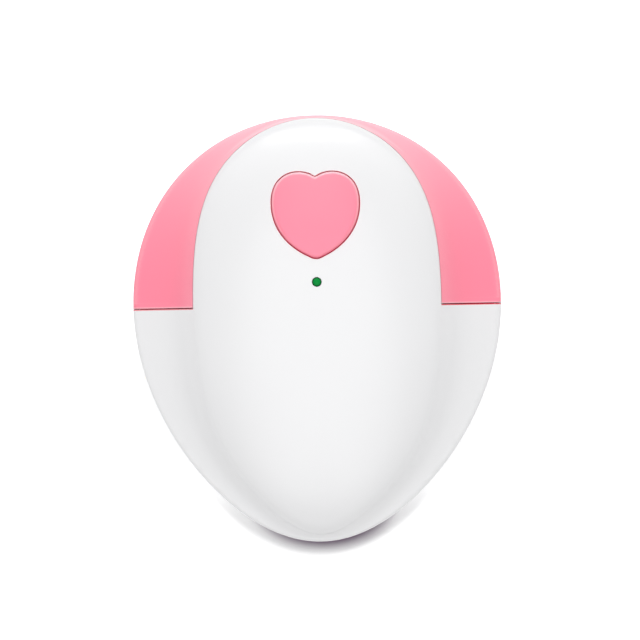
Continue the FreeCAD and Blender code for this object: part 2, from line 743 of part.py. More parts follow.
battery_body = cell(0)
front_cover = front_cover.cut(cell(battery_room))
battery_terminals = []
snap_holes = []
for side, radius in ((-1, 2.9), (1, 3.4)):
    y = middle_y + side * terminal_pitch / 2
    battery_terminals.append(across(y, middle_z, radius, battery_end, battery_end + terminal_length))
    snap_holes.append(across(y, middle_z, radius + 0.1, 0, battery_end + terminal_length + 0.1))
snap_thick, snap_long, snap_high = snap_size
battery_snap = block(
    battery_end + 0.2, battery_end + 0.2 + snap_thick, middle_y - snap_long / 2, middle_y + snap_long / 2,
    middle_z - snap_high / 2, middle_z + snap_high / 2)
battery_snap = battery_snap.cut(joined(snap_holes))
foam_low = floor_z
battery_foam_pad = block(
    battery_shift - foam_pad[0] / 2, battery_shift + foam_pad[0] / 2,
    middle_y - foam_pad[1] / 2, middle_y + foam_pad[1] / 2, foam_low, battery_z)

snap_top = middle_z + snap_high / 2
snap_leads = []
for share, y in ((0.3, middle_y - 3), (0.7, middle_y + 3)):
    x = battery_end + 0.2 + snap_thick * share
    path = [Vector(x, y, snap_top), Vector(x, y, lead_run_z), Vector(x, lead_end_y, lead_run_z),
            Vector(x, lead_end_y, board_top)]
    snap_leads.append(lead(path, lead_radius, lead_bend))
red_lead, black_lead = snap_leads

# ------------------------------------------------------------------- export
parts = {
    "front_cover": [front_cover],
    "shoulder_band": [shoulder_band],
    "back_cover": [back_cover],
    "battery_door": [battery_door],
    "power_button": [power_button],
    "indicator_lens": [indicator_lens],
    "indicator_led": [indicator_led],
    "tact_switch": [tact_switch],
    "switch_plunger": [switch_plunger],
    "switch_board": [switch_board],
    "switch_board_screws": switch_board_screws,
    "main_board": [main_board],
    "main_board_screws": main_board_screws,
    "control_chips": control_chips,
    "capacitors": capacitors,
    "crystal_can": [crystal_can],
    "shield_can": [shield_can],
    "ribbon_connectors": ribbon_connectors,
    "ribbon_cable": [ribbon_cable],
    "jack_bodies": jack_bodies,
    "jack_collars": jack_collars,
    "volume_wheel": [volume_wheel],
    "volume_potentiometer": [volume_potentiometer],
    "probe_lens": [probe_lens],
    "probe_gasket": [probe_gasket],
    "transmit_crystal": [transmit_crystal],
    "receive_crystal": [receive_crystal],
    "probe_septum": [probe_septum],
    "probe_backing": [probe_backing],
    "probe_cup": [probe_cup],
    "probe_leads": probe_leads,
    "battery": [battery_body],
    "battery_terminals": battery_terminals,
    "battery_snap": [battery_snap],
    "red_lead": [red_lead],
    "black_lead": [black_lead],
    "battery_foam": [battery_foam_pad],
    "case_screws": case_screws,
}
os.makedirs("parts", exist_ok=True)
for name, shapes in parts.items():
    solids = [solid for shape in shapes for solid in shape.Solids]
    Part.Compound(solids).exportStep("parts/" + name + ".step")
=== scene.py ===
# %% [markdown]
# # A pocket fetal heartbeat monitor
# The packed model comes in as a fixed frame: every piece below sits where its CAD solid sits. Blender counts
# in metres and the object is measured in millimetres, so `MM` turns one into the other.

# %% Load the frame
import math

import bmesh
import bpy
from mathutils import Matrix, Vector
from mathutils.bvhtree import BVHTree


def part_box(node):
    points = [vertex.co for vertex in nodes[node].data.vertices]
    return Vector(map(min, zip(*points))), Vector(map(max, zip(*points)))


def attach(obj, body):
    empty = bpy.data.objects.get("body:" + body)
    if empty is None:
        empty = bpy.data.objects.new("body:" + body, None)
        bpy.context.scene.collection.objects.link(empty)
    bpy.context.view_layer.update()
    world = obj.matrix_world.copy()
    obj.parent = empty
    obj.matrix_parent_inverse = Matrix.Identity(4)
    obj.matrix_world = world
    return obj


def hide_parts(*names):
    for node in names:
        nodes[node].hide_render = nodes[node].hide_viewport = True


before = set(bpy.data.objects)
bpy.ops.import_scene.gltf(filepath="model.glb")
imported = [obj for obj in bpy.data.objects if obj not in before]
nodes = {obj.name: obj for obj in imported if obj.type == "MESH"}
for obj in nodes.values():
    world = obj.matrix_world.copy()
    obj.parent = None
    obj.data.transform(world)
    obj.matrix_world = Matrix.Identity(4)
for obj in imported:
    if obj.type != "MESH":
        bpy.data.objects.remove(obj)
scene = bpy.context.scene
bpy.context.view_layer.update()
MM = 0.001
print("pieces in the frame:", len(nodes))

# %% [markdown]
# ## Shader maths as plain expressions
# A material is a small sum over a surface. Writing every Math node by hand hides that sum, so one class wraps
# a socket and lets us write `1 - mask * 0.2`; Python's operators then add the nodes for us.

# %% A socket that can be added and multiplied
class Wave:
    """A number that changes over a surface: a node's output, with Python's operators."""

    def __init__(self, tree, socket):
        self.tree = tree
        self.socket = socket

    def math(self, operation, *others):
        node = self.tree.nodes.new("ShaderNodeMath")
        node.operation = operation
        for place, value in enumerate((self,) + others):
            if isinstance(value, Wave):
                self.tree.links.new(value.socket, node.inputs[place])
            else:
                node.inputs[place].default_value = value
        return Wave(self.tree, node.outputs[0])

    def __add__(self, other):
        return self.math("ADD", other)

    def __mul__(self, other):
        return self.math("MULTIPLY", other)

    def __sub__(self, other):
        return self.math("SUBTRACT", other)

    def __rsub__(self, other):
        return (self * -1.0) + other

    __radd__ = __add__
    __rmul__ = __mul__

    def above(self, level):
        return self.math("GREATER_THAN", level)

    def below(self, level):
        return self.math("LESS_THAN", level)

    def size(self):
        return self.math("ABSOLUTE")

    def clamp(self):
        return self.math("MAXIMUM", 0.0).math("MINIMUM", 1.0)


print("a Wave knows", ", ".join(name for name in vars(Wave) if not name.startswith("_")))

# %% [markdown]
# ## One way to add a node
# Materials, the world and geometry trees are all node trees. So one class adds a node, changes its settings and
# fills its sockets by name, with a number, a colour, another socket or a list of sockets. Every node but the Math
# nodes above comes from its one method. Patterns read the object's own coordinates: they stay where they are when
# the piece moves.

# %% A node tree with a few handy parts
class Tree:
    """Any node tree, with one method that adds a node and fills its sockets."""

    def __init__(self, tree):
        self.tree = tree

    def feed(self, socket, value):
        for one in value if isinstance(value, list) else [value]:
            one = one.socket if isinstance(one, Wave) else one
            if isinstance(one, bpy.types.NodeSocket):
                self.tree.links.new(one, socket)
            else:
                socket.default_value = one

    def node(self, kind, settings=None, **values):
        """Adds a node; a socket's spaces are underscores in its keyword."""
        node = self.tree.nodes.new(kind)
        for key, value in (settings or {}).items():
            setattr(node, key, value)
        for key, value in values.items():
            self.feed(node.inputs[key.replace("_", " ")], value)
        return node

    def mix(self, factor, first, second):
        """A colour that goes from the first to the second as factor goes from 0 to 1."""
        node = self.node("ShaderNodeMix", {"data_type": "RGBA"})
        sockets = [socket for socket in node.inputs if socket.enabled]
        for socket, value in zip(sockets, (factor, first, second)):
            self.feed(socket, (*value, 1) if isinstance(value, tuple) else value)
        return [socket for socket in node.outputs if socket.enabled][0]

    def where(self):
        """The place on the piece, in metres."""
        return self.node("ShaderNodeTexCoord").outputs["Object"]

    def part(self, vector, axis):
        """The X, Y or Z of a vector."""
        return Wave(self.tree, self.node("ShaderNodeSeparateXYZ", Vector=vector).outputs[axis])

    def along(self, axis):
        """The piece's own X, Y or Z in millimetres."""
        return self.part(self.where(), axis) * (1 / MM)


print("a Tree knows", ", ".join(name for name in vars(Tree) if not name.startswith("_")))

# %% [markdown]
# ## A finish
# Every visible piece wears one Principled shader. Only what changes over a surface is worked out by nodes: colour,
# roughness and relief. What is the same all over, such as the strength of the clear coat, is set on the shader's
# own socket. Sharp edges get a rounding for the light only, from a Bevel node, which costs no faces.

# %% A material under construction
class Finish(Tree):
    """One Principled shader and the nodes that feed it."""

    def __init__(self, name, color, roughness, **fixed):
        self.material = bpy.data.materials.new(name)
        self.material.use_nodes = True
        self.material.diffuse_color = (*color, 1)
        super().__init__(self.material.node_tree)
        self.shader = self.tree.nodes["Principled BSDF"]
        self.set(Base_Color=(*color, 1), Roughness=roughness, **fixed)

    def set(self, **values):
        for key, value in values.items():
            self.feed(self.shader.inputs[key.replace("_", " ")], value)

    def grain(self, size, detail=2.0, rough=0.5):
        """Noise whose grains are about this many millimetres across."""
        found = self.node("ShaderNodeTexNoise", Vector=self.where(), Scale=1 / (size * MM), Detail=detail,
                          Roughness=rough)
        return Wave(self.tree, found.outputs[0])

    def facing(self, axis):
        """How far the surface faces along an axis, from -1 to 1."""
        return self.part(self.node("ShaderNodeTexCoord").outputs["Normal"], axis)

    def bump(self, height, depth, edge=0.0):
        """Relief of this many millimetres; edge rounds off sharp edges by a radius, for the light only."""
        relief = self.node("ShaderNodeBump", Strength=1.0, Distance=depth * MM, Height=height)
        if edge:
            soft = self.node("ShaderNodeBevel", {"samples": 6}, Radius=edge * MM)
            self.feed(relief.inputs["Normal"], soft.outputs[0])
        self.set(Normal=relief.outputs[0])


def paint(material, *names):
    """Puts a material on the frame's own solids."""
    for name in names:
        mesh = nodes[name].data
        if not mesh.materials:
            mesh.materials.append(material)
        for slot in nodes[name].material_slots:
            slot.material = material
    print(material.name, "on", ", ".join(names))


print("materials before we start:", len(bpy.data.materials))

# %% [markdown]
# ## The moulded plastics
# The covers are injection-moulded: glossy, but never a mirror. Faint flow marks bend the highlight, the gloss is a
# little uneven where hands touch it, and the tool leaves every parting edge slightly rounded. The flow and the
# gloss are two noises on the object's own coordinates. The rounding of the hairline edges is a Bevel node: real
# fillets exist on the button and round its hole, where they are large enough to see as a shape. A piece's painted
# light and shade, such as a painted highlight on a rim, is a function that changes the base tone, so one recipe
# serves every moulding.

# %% A moulded finish
FLOW_MARK, TOUCH_MARK = 24, 3.0


def moulded(name, color, deep, roughness=0.38, coat=0.5, edge=0.22, polish=0.13, shade=None):
    """Plastic from a polished mould; shade is a function of the finish and its tone that returns a new tone with
    painted light and shade.
    """
    finish = Finish(name, color, roughness, Coat_Weight=coat, Coat_Roughness=polish)
    flow = finish.grain(FLOW_MARK, 1.5)
    touch = finish.grain(TOUCH_MARK, 3.0)
    tone = finish.mix(flow.clamp(), deep, color)
    finish.set(Base_Color=shade(finish, tone) if shade else tone,
               Roughness=(flow - 0.5) * 0.08 + (touch - 0.5) * 0.10 + roughness)
    finish.bump(flow + touch * 0.02, 0.035, edge)
    print(name, "is moulded in", color)
    return finish.material


# %% [markdown]
# ## White plastic, with painted shade in its gaps
# Pink plastic throws its light into the narrow gaps next to it, where shade falls. The walls of those gaps belong to
# the white cover, so its colour is painted a deep shaded pink there, as painted shade and painted pink bounce light:
# on the ledge that the band butts against, along the seam at the band's foot, and down the hole for the heart. Masks
# on the piece's own coordinates mark these places. The painted seam shade is deeper on the +X shoulder, where the
# band shades it more.

# %% The white covers
WHITE, WHITE_DEEP = (0.815, 0.815, 0.822), (0.800, 0.800, 0.810)
# colours of the painted shade and painted pink bounce light in the gaps
SHADED_PINK, SEAM_SHADE_PINK, HOLE_SHADE_PINK = (0.80, 0.025, 0.06), (0.86, 0.20, 0.25), (0.82, 0.03, 0.09)
BAND_LINE, SEAM_EDGE = 5.58, 0.22      # the Y of the band's foot, and how far its colour reaches below it
TONGUE_HALF = 32.4                     # the tongue's half width at that line
HEART_LOW, HEART_HIGH, HEART_HALF = 16.5, 41.5, 12.5


def painted_gap_shade(finish, tone):
    """White plastic with painted shade and painted pink bounce light in the gaps beside the band and the heart."""
    x, y = finish.along("X"), finish.along("Y")
    # painted shade and painted pink bounce light on the ledge, along the seam and down the heart's hole
    ledge = x.size().above(TONGUE_HALF) * y.above(BAND_LINE)
    tone = finish.mix(ledge, tone, SHADED_PINK)
    seam = x.size().above(TONGUE_HALF - 0.5) * y.above(BAND_LINE - SEAM_EDGE) * y.below(BAND_LINE + 0.1)
    tone = finish.mix(seam, tone, finish.mix(x.above(0.0), SEAM_SHADE_PINK, SHADED_PINK))
    steep = finish.facing("Z").size().below(0.85)
    hole = steep * y.above(HEART_LOW) * y.below(HEART_HIGH) * x.size().below(HEART_HALF)
    return finish.mix(hole, tone, HOLE_SHADE_PINK)


paint(moulded("white_front", WHITE, WHITE_DEEP, shade=painted_gap_shade), "front_cover")
paint(moulded("white_back", WHITE, WHITE_DEEP), "back_cover", "battery_door")

# %% [markdown]
# ## The pink band
# The band is a thin shell. It has a painted highlight towards the wide end, where the light comes from, and along
# its outer rim, where the rounded edge catches the light. The rim can't be masked by a coordinate, because it
# follows the outline. But a Bevel node turns the normal near an edge and nowhere else, so comparing it with the true
# normal gives a mask that follows the rim by itself. The foot of the band has a painted highlight on its lip, and
# painted shade on the wall under that lip.

# %% The band's finish
PINK, PINK_DEEP = (0.975, 0.228, 0.330), (0.965, 0.216, 0.316)
# the colour of the painted highlights on the band and the heart
HIGHLIGHT_PALE = (0.990, 0.46, 0.53)
FADE_START, FADE_LENGTH = 8.0, 46.0
RIM_RADIUS, RIM_TOP = 2.4, 24.0
LIP = 0.65


def painted_band_highlights(finish, tone):
    """Painted highlight towards the wide end, along the outer rim and on the lip at the band's foot; painted shade
    under the lip.
    """
    y = finish.along("Y")
    # painted highlight towards the wide end
    reach = ((y - FADE_START) * (1 / FADE_LENGTH)).clamp()
    tone = finish.mix(reach * reach * 0.8, tone, HIGHLIGHT_PALE)
    # painted highlight along the outer rim
    rounded = finish.node("ShaderNodeBevel", {"samples": 8}, Radius=RIM_RADIUS * MM)
    turn = finish.node("ShaderNodeVectorMath", {"operation": "DOT_PRODUCT"})
    finish.feed(turn.inputs[0], rounded.outputs[0])
    finish.feed(turn.inputs[1], finish.node("ShaderNodeNewGeometry").outputs["Normal"])
    rim = ((0.997 - Wave(finish.tree, turn.outputs["Value"])) * 25.0).clamp() * finish.along("Z").below(RIM_TOP)
    # painted highlight on the lip, and painted shade on the wall under it
    past_line = y - BAND_LINE
    lip = past_line.below(LIP)
    tone = finish.mix((rim * past_line.above(1.5) * 0.8 + lip * 0.6).clamp(), tone, HIGHLIGHT_PALE)
    return finish.mix(lip * finish.facing("Z").below(0.3), tone, SHADED_PINK)


pink = moulded("pink_moulding", PINK, PINK_DEEP, coat=0.8, polish=0.32, shade=painted_band_highlights)
paint(pink, "shoulder_band")

# %% [markdown]
# ## The pink heart
# The heart has a painted highlight where its edge turns over, where the rounded corner catches the light. A surface
# that turns away from +Z is such an edge, and the edge towards the wide end catches the most light, so the mask also
# asks how far the surface faces along Y. A faint painted highlight also spreads over the heart towards the wide end.

# %% The button's finish
HEART_PINK, HEART_DEEP = (0.975, 0.226, 0.326), (0.965, 0.216, 0.314)
# the colour of the painted highlight on the heart's edge
EDGE_HIGHLIGHT = (0.99, 0.62, 0.67)


def painted_rim_highlight(finish, tone):
    """Painted highlight where the edge turns over, most of all towards the wide end."""
    # a faint painted highlight towards the wide end
    far_end = ((finish.along("Y") - 26.0) * (1 / 14)).clamp()
    tone = finish.mix(far_end * 0.15, tone, HIGHLIGHT_PALE)
    # painted highlight where the edge turns over
    turned = ((1 - finish.facing("Z")) * 3.0).clamp()
    return finish.mix(turned * (finish.facing("Y") * 0.5 + 0.4).clamp(), tone, EDGE_HIGHLIGHT)


pink_button = moulded("pink_button", HEART_PINK, HEART_DEEP, edge=0.6, shade=painted_rim_highlight)
paint(pink_button, "power_button")

# %% [markdown]
# ## The probe's resin and the lamp's lens
# The probe's face is a harder, clearer resin than the covers, so that gel wipes off it. The lamp's lens is tinted
# and polished, with painted shade towards its rim, where the wall is seen through its whole depth. A tinted solid
# shader with a thin coat does for both: a lens this small shows no depth, and glass would only cost render time.

# %% Resin and lens
LAMP_PLACE = (0.0, 11.9)
# the lens's green, and the colour of the painted shade at its rim
LENS_GREEN, LENS_RIM_SHADE = (0.002, 0.27, 0.045), (0.004, 0.12, 0.030)


def tinted_lens():
    finish = Finish("tinted_lens", LENS_GREEN, 0.15, Coat_Weight=0.12, Coat_Roughness=0.05, Specular_IOR_Level=0.0)
    x, y = finish.along("X") - LAMP_PLACE[0], finish.along("Y") - LAMP_PLACE[1]
    # painted shade: darker towards the rim
    rim = ((x * x + y * y).math("SQRT") - 0.75) * 3.0
    cloud = finish.grain(0.7, 2.0)
    finish.set(Base_Color=finish.mix(rim.clamp(), LENS_GREEN, LENS_RIM_SHADE), Roughness=cloud * 0.1 + 0.1)
    finish.bump(cloud, 0.004)
    return finish.material


lens_green = tinted_lens()
paint(lens_green, "indicator_lens", "indicator_led")
paint(moulded("probe_resin", (0.50, 0.52, 0.545), (0.48, 0.50, 0.53), 0.24, 0.6, 0.3), "probe_lens")

# %% [markdown]
# ## Nylon and plated metal
# The black pieces are glass-filled nylon with a fine spark-eroded grain. The metal is plated: nickel over brass at
# the sockets, bright zinc on the screws. Nylon is a fine noise in the relief; plate is a stretched, rougher noise in
# colour and gloss, because polishing leaves streaks.

# %% Black pieces
def nylon(name, color, roughness=0.55, grain=0.18):
    finish = Finish(name, color, roughness)
    fine = finish.grain(grain, 4.0)
    finish.set(Roughness=(fine - 0.5) * 0.25 + roughness)
    finish.bump(fine, 0.02, 0.12)
    return finish.material


black_nylon = nylon("black_nylon", (0.018, 0.018, 0.020))
paint(black_nylon, "jack_bodies", "volume_potentiometer", "battery_snap", "probe_cup", "ribbon_connectors",
      "tact_switch", "switch_plunger")
paint(nylon("black_epoxy", (0.028, 0.028, 0.030), 0.42, 0.09), "control_chips")

# %% Metal pieces
def plated(name, color, roughness):
    finish = Finish(name, color, roughness, Metallic=1.0)
    streak = finish.grain(0.5, 5.0, 0.7)
    finish.set(Base_Color=finish.mix(streak.clamp(), tuple(c * 0.86 for c in color), color),
               Roughness=(streak - 0.5) * 0.3 + roughness)
    finish.bump(streak, 0.006, 0.06)
    return finish.material


zinc = plated("zinc_plate", (0.66, 0.68, 0.70), 0.32)
paint(plated("nickel_plate", (0.78, 0.74, 0.68), 0.22), "jack_collars", "battery_terminals", "shield_can",
      "crystal_can")
paint(zinc, "case_screws", "main_board_screws", "switch_board_screws")
paint(plated("drawn_aluminium", (0.80, 0.81, 0.82), 0.28), "capacitors")
paint(plated("silvered_ceramic", (0.70, 0.66, 0.56), 0.45), "transmit_crystal", "receive_crystal")

# %% [markdown]
# ## The circuit boards
# The inside shows only with the battery door open, but each piece still gets the finish of the real one. On a board,
# green resist covers copper tracks that stand a little proud and look lighter. The mortar lines of a Brick texture
# run straight and turn square corners, as tracks do.

# %% Solder resist
TRACK_PITCH = 3.2


def solder_resist():
    finish = Finish("solder_resist", (0.012, 0.10, 0.04), 0.35)
    tracks = finish.node("ShaderNodeTexBrick", {"offset": 0.35}, Vector=finish.where(), Scale=1 / (TRACK_PITCH * MM),
                         Color1=(0, 0, 0, 1), Color2=(0, 0, 0, 1), Mortar=(1, 1, 1, 1), Mortar_Size=0.05)
    copper = Wave(finish.tree, tracks.outputs["Fac"])
    speckle = finish.grain(0.6, 3.0)
    finish.set(Base_Color=finish.mix(copper, (0.012, 0.085, 0.035), (0.03, 0.19, 0.07)),
               Roughness=speckle * 0.2 + 0.25)
    finish.bump(copper + speckle * 0.2, 0.035)
    return finish.material


paint(solder_resist(), "main_board", "switch_board")

# %% [markdown]
# ## Foam, insulation and the battery
# Closed-cell foam and cast absorber are both full of small rounded pits, which a Voronoi pattern's distance gives;
# the pits have painted shade, darker in colour.
# Wire insulation and ribbon film are soft and slightly wavy. The battery wears a dark foil jacket with a copper top,
# scuffed where it slides in.

# %% Foam and absorber
def spongy(name, color, cell, depth):
    finish = Finish(name, color, 0.9)
    cells = finish.node("ShaderNodeTexVoronoi", Vector=finish.where(), Scale=1 / (cell * MM))
    pits = Wave(finish.tree, cells.outputs["Distance"])
    # painted shade: the pits are darker in colour
    finish.set(Base_Color=finish.mix(pits.clamp(), tuple(c * 0.6 for c in color), color))
    finish.bump(pits, depth)
    return finish.material


paint(spongy("closed_cell_foam", (0.030, 0.030, 0.034), 0.45, 0.15), "battery_foam", "probe_gasket")
paint(spongy("cast_absorber", (0.020, 0.020, 0.022), 0.9, 0.04), "probe_backing", "probe_septum")

# %% Leads and ribbon
def insulation(name, color):
    finish = Finish(name, color, 0.45)
    wave = finish.grain(2.0, 2.0)
    finish.set(Roughness=wave * 0.2 + 0.35)
    finish.bump(wave, 0.02)
    return finish.material


paint(insulation("red_insulation", (0.45, 0.010, 0.008)), "red_lead", "probe_leads")
paint(insulation("black_insulation", (0.012, 0.012, 0.012)), "black_lead")
paint(insulation("ribbon_film", (0.42, 0.43, 0.45)), "ribbon_cable")

# %% Battery
COPPER_TOP_X = 11.0


def battery_jacket():
    finish = Finish("battery_jacket", (0.03, 0.04, 0.07), 0.35, Metallic=0.6)
    top = finish.along("X").above(COPPER_TOP_X)
    scuff = finish.grain(1.5, 4.0)
    dark = finish.mix(scuff.clamp(), (0.020, 0.026, 0.045), (0.035, 0.045, 0.075))
    finish.set(Base_Color=finish.mix(top, dark, (0.62, 0.40, 0.20)), Roughness=scuff * 0.25 + 0.22)
    finish.bump(scuff, 0.01, 0.3)
    return finish.material


paint(battery_jacket(), "battery")

# %% [markdown]
# ## What every new piece says
# A new piece is smooth but for its sharp edges. It then says what it is made of, which body it moves with and
# which solid it stands for. That solid stays, hidden. That solid stays for the collisions.

# %% Placing a piece
def place(name, mesh, sharp=35):
    """Puts a mesh in the scene as an object, smooth but for its sharp edges."""
    mesh.shade_smooth()
    mesh.set_sharp_from_angle(angle=math.radians(sharp))
    piece = bpy.data.objects.new(name, mesh)
    scene.collection.objects.link(piece)
    return piece


def wears(piece, material, body, slot, *replaced):
    """Says what a new piece is made of, what it moves with and which nodes it stands for."""
    piece.data.materials.clear()
    piece.data.materials.append(material)
    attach(piece, body)
    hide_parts(*replaced)
    print(piece.name, "has", len(piece.data.polygons), "faces")


def extent(node):
    """A node's lowest and highest corners in millimetres."""
    low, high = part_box(node)
    return Vector(low) / MM, Vector(high) / MM


print("the lens's solid spans", *extent("indicator_lens"))

# %% [markdown]
# ## Closing hairline gaps
# Two mouldings that are pressed together show no gap from above. The solids keep a quarter of a millimetre for
# assembly. A copy of a solid can take that up: each point of a wall that looks across the gap moves most of the way
# over, along the slope of the piece's own surface, so the outline grows and the form stays. A ray from the point
# finds how far away the neighbour is.

# %% A solid's copy, closed up against its neighbour
RAY_START, RAY_DROP = 0.01, 0.15       # how far off and below a wall's point its ray starts


def way_over(vertex, kept, tree, left, least, most):
    """The step that takes a wall's point across its gap, or None where it has no wall or no gap."""
    walls = [f.normal for f in vertex.link_faces if abs(f.normal.z) < 0.05 and not (kept and f.normal.y < -0.9)]
    if not walls:
        return None
    across = sum(walls, Vector()).normalized()
    across.z = 0
    start = vertex.co + across * RAY_START * MM - Vector((0, 0, RAY_DROP * MM))
    spot, normal, _, gap = tree.ray_cast(start, across, most * MM)
    if spot is None or gap < least * MM or normal.dot(across) > -0.9:
        return None
    step = across * (gap - left * MM)
    slopes = [f.normal for f in vertex.link_faces if f.normal.z > 0.2]
    if slopes:
        slope = sum(slopes, Vector()).normalized()
        step.z = -(slope.x * step.x + slope.y * step.y) / slope.z
    return step


def closed_up(node, neighbour, left, least=0.15, most=0.4, open_below=-1000.0):
    """A copy of a node whose walls that stand least to most mm from the neighbour move up to leave less.

    Walls that face -Y below the line open_below keep their gap."""
    work, other = bmesh.new(), bmesh.new()
    work.from_mesh(nodes[node].data)
    bmesh.ops.remove_doubles(work, verts=work.verts, dist=1e-7)
    other.from_mesh(nodes[neighbour].data)
    tree = BVHTree.FromBMesh(other)
    work.normal_update()
    steps = [way_over(v, v.co.y < open_below * MM, tree, left, least, most) for v in work.verts]
    for vertex, step in zip(work.verts, steps):
        if step:
            vertex.co += step
    mesh = bpy.data.meshes.new(node)
    work.to_mesh(mesh)
    work.free()
    other.free()
    print(len([step for step in steps if step]), "points of", node, "moved up to", neighbour)
    return mesh


# %% [markdown]
# ## The band and the heart
# The band closes up against the tongue, but keeps the open seam at its foot, which is a real parting line. The
# heart has to slide, so its solid stands clear of the hole all round. Its copy leaves a tenth of a millimetre: that
# still looks like a moving key, with a hairline round it.

# %% The band, pressed against the tongue
band = place("band", closed_up("shoulder_band", "front_cover", 0.05, open_below=BAND_LINE + 1.0))
wears(band, pink, "housing", "pink_cover", "shoulder_band")

# %% The heart in its hole
heart = place("heart_button", closed_up("power_button", "front_cover", 0.10))
wears(heart, pink_button, "power_button", "pink_cover", "power_button")

# %% [markdown]
# ## A turned piece
# The lamp's lens is moulded round. On a lathe only the outline of half a section matters, so the helper takes
# that outline as (radius, height) pairs and spins it into a closed mesh. A point at radius 0 becomes one vertex, so
# that a dome's pole is shut.

# %% A lathe
def lathe(name, outline, centre, steps=64):
    """Spins an outline round an upright axis through centre."""
    work = bmesh.new()
    rings = []
    for radius, height in outline:
        around = [2 * math.pi * i / steps for i in range(1 if radius == 0 else steps)]
        rings.append([work.verts.new((radius * math.cos(a), radius * math.sin(a), height)) for a in around])
    for low_ring, high_ring in zip(rings, rings[1:]):
        for i in range(steps):
            j = (i + 1) % steps
            corners = [low_ring[i % len(low_ring)], low_ring[j % len(low_ring)],
                       high_ring[j % len(high_ring)], high_ring[i % len(high_ring)]]
            work.faces.new(list(dict.fromkeys(corners)))
    bmesh.ops.recalc_face_normals(work, faces=work.faces)
    work.transform(Matrix.Translation(Vector(centre) * MM) @ Matrix.Scale(MM, 4))
    mesh = bpy.data.meshes.new(name)
    work.to_mesh(mesh)
    work.free()
    return place(name, mesh)


# %% The lamp's lens
LENS_RADIUS, LENS_RISE, FLANGE_TOP = 1.2, 0.9, 0.6
DOME_STEPS = 10
low, high = extent("indicator_lens")
flange = (high.x - low.x) / 2
turns = [math.pi / 2 * i / DOME_STEPS for i in range(DOME_STEPS + 1)]
dome = [(LENS_RADIUS * math.sin(turn), high.z - LENS_RISE * (1 - math.cos(turn))) for turn in turns]
foot = [(LENS_RADIUS, low.z + FLANGE_TOP), (flange, low.z + FLANGE_TOP), (flange, low.z), (0, low.z)]
lens = lathe("lamp_lens", dome + foot, ((low.x + high.x) / 2, (low.y + high.y) / 2, 0))
wears(lens, lens_green, "housing", "green_lens", "indicator_lens")

# %% [markdown]
# ## Geometry Nodes for what repeats
# The thumb wheel has forty ribs and the back has four equal screws. The wheel's rim follows a rule, a wave round a
# circle, and the screw is one shape placed four times, which is what instances are for. Each tree gets its sizes
# through named inputs and ends by making the instances real and setting the material. Then the modifier's
# result becomes a plain mesh.

# %% A small kit for geometry trees
class Grower(Tree):
    """A geometry tree under construction, with named inputs for its sizes."""

    def __init__(self, name, **sizes):
        super().__init__(bpy.data.node_groups.new(name, "GeometryNodeTree"))
        self.sizes = sizes
        sockets = self.tree.interface
        sockets.new_socket("Geometry", in_out="INPUT", socket_type="NodeSocketGeometry")
        self.keys = {}
        for label, value in sizes.items():
            kind = "NodeSocketInt" if isinstance(value, int) else "NodeSocketFloat"
            self.keys[label] = sockets.new_socket(label, in_out="INPUT", socket_type=kind).identifier
        sockets.new_socket("Geometry", in_out="OUTPUT", socket_type="NodeSocketGeometry")
        self.inputs = self.node("NodeGroupInput").outputs

    def made(self, kind, settings=None, **values):
        """Adds a node and gives back its result."""
        return self.node(kind, settings, **values).outputs[0]

    def size(self, label):
        return Wave(self.tree, self.inputs[label])

    def shifted(self, shape, z=0.0, **more):
        move = self.made("ShaderNodeCombineXYZ", Z=z)
        return self.made("GeometryNodeTransform", Geometry=shape, Translation=move, **more)

    def drum(self, radius, length, top=None, sides=48):
        """A cylinder standing on height 0, or a cone with another radius on top."""
        return self.made("GeometryNodeMeshCone", Vertices=sides, Radius_Bottom=radius,
                         Radius_Top=radius if top is None else top, Depth=length)

    def bar(self, length, width, height):
        return self.made("GeometryNodeMeshCube", Size=self.made("ShaderNodeCombineXYZ", X=length, Y=width, Z=height))

    def joined(self, *shapes):
        return self.made("GeometryNodeJoinGeometry", Geometry=list(shapes))

    def boolean(self, operation, *shapes, cut_from=None):
        first = {"Mesh_1": cut_from} if cut_from else {}
        return self.made("GeometryNodeMeshBoolean", {"operation": operation}, Mesh_2=list(shapes), **first)


print("a Grower adds", ", ".join(name for name in vars(Grower) if not name.startswith("_")))

# %% Running a tree
def grow(grower, name, shape, material, points, chamfer=0.0):
    """Puts the shape on every point, runs the tree and returns the result as a plain object."""
    copies = grower.made("GeometryNodeInstanceOnPoints", Points=grower.inputs["Geometry"], Instance=shape)
    real = grower.made("GeometryNodeRealizeInstances", Geometry=copies)
    grower.node("NodeGroupOutput", Geometry=grower.made("GeometryNodeSetMaterial", Geometry=real, Material=material))
    seed = bpy.data.meshes.new(name + "_places")
    seed.from_pydata([tuple(c * MM for c in point) for point in points], [], [])
    carrier = bpy.data.objects.new(name + "_places", seed)
    scene.collection.objects.link(carrier)
    modifier = carrier.modifiers.new("grow", "NODES")
    modifier.node_group = grower.tree
    for label, value in grower.sizes.items():
        modifier[grower.keys[label]] = value
    if chamfer:
        edge = carrier.modifiers.new("chamfer", "BEVEL")
        edge.width, edge.segments, edge.angle_limit = chamfer * MM, 3, math.radians(60)
    grown = carrier.evaluated_get(bpy.context.evaluated_depsgraph_get())
    mesh = bpy.data.meshes.new_from_object(grown)
    mesh.name = name
    bpy.data.objects.remove(carrier)
    work = bmesh.new()
    work.from_mesh(mesh)
    bmesh.ops.recalc_face_normals(work, faces=work.faces)
    work.to_mesh(mesh)
    work.free()
    print(name, "grown at", len(points), "places")
    return place(name, mesh)


# %% [markdown]
# ## The thumb wheel
# A ribbed wheel is a circle whose radius swells and shrinks as a cosine of the angle. Raised to a power under one,
# the crests are broad and the valleys narrow, as on a moulded grip. The flat shape is then extruded to a disc. A pin
# below it sits in the potentiometer, and a small chamfer takes the sharpness off.

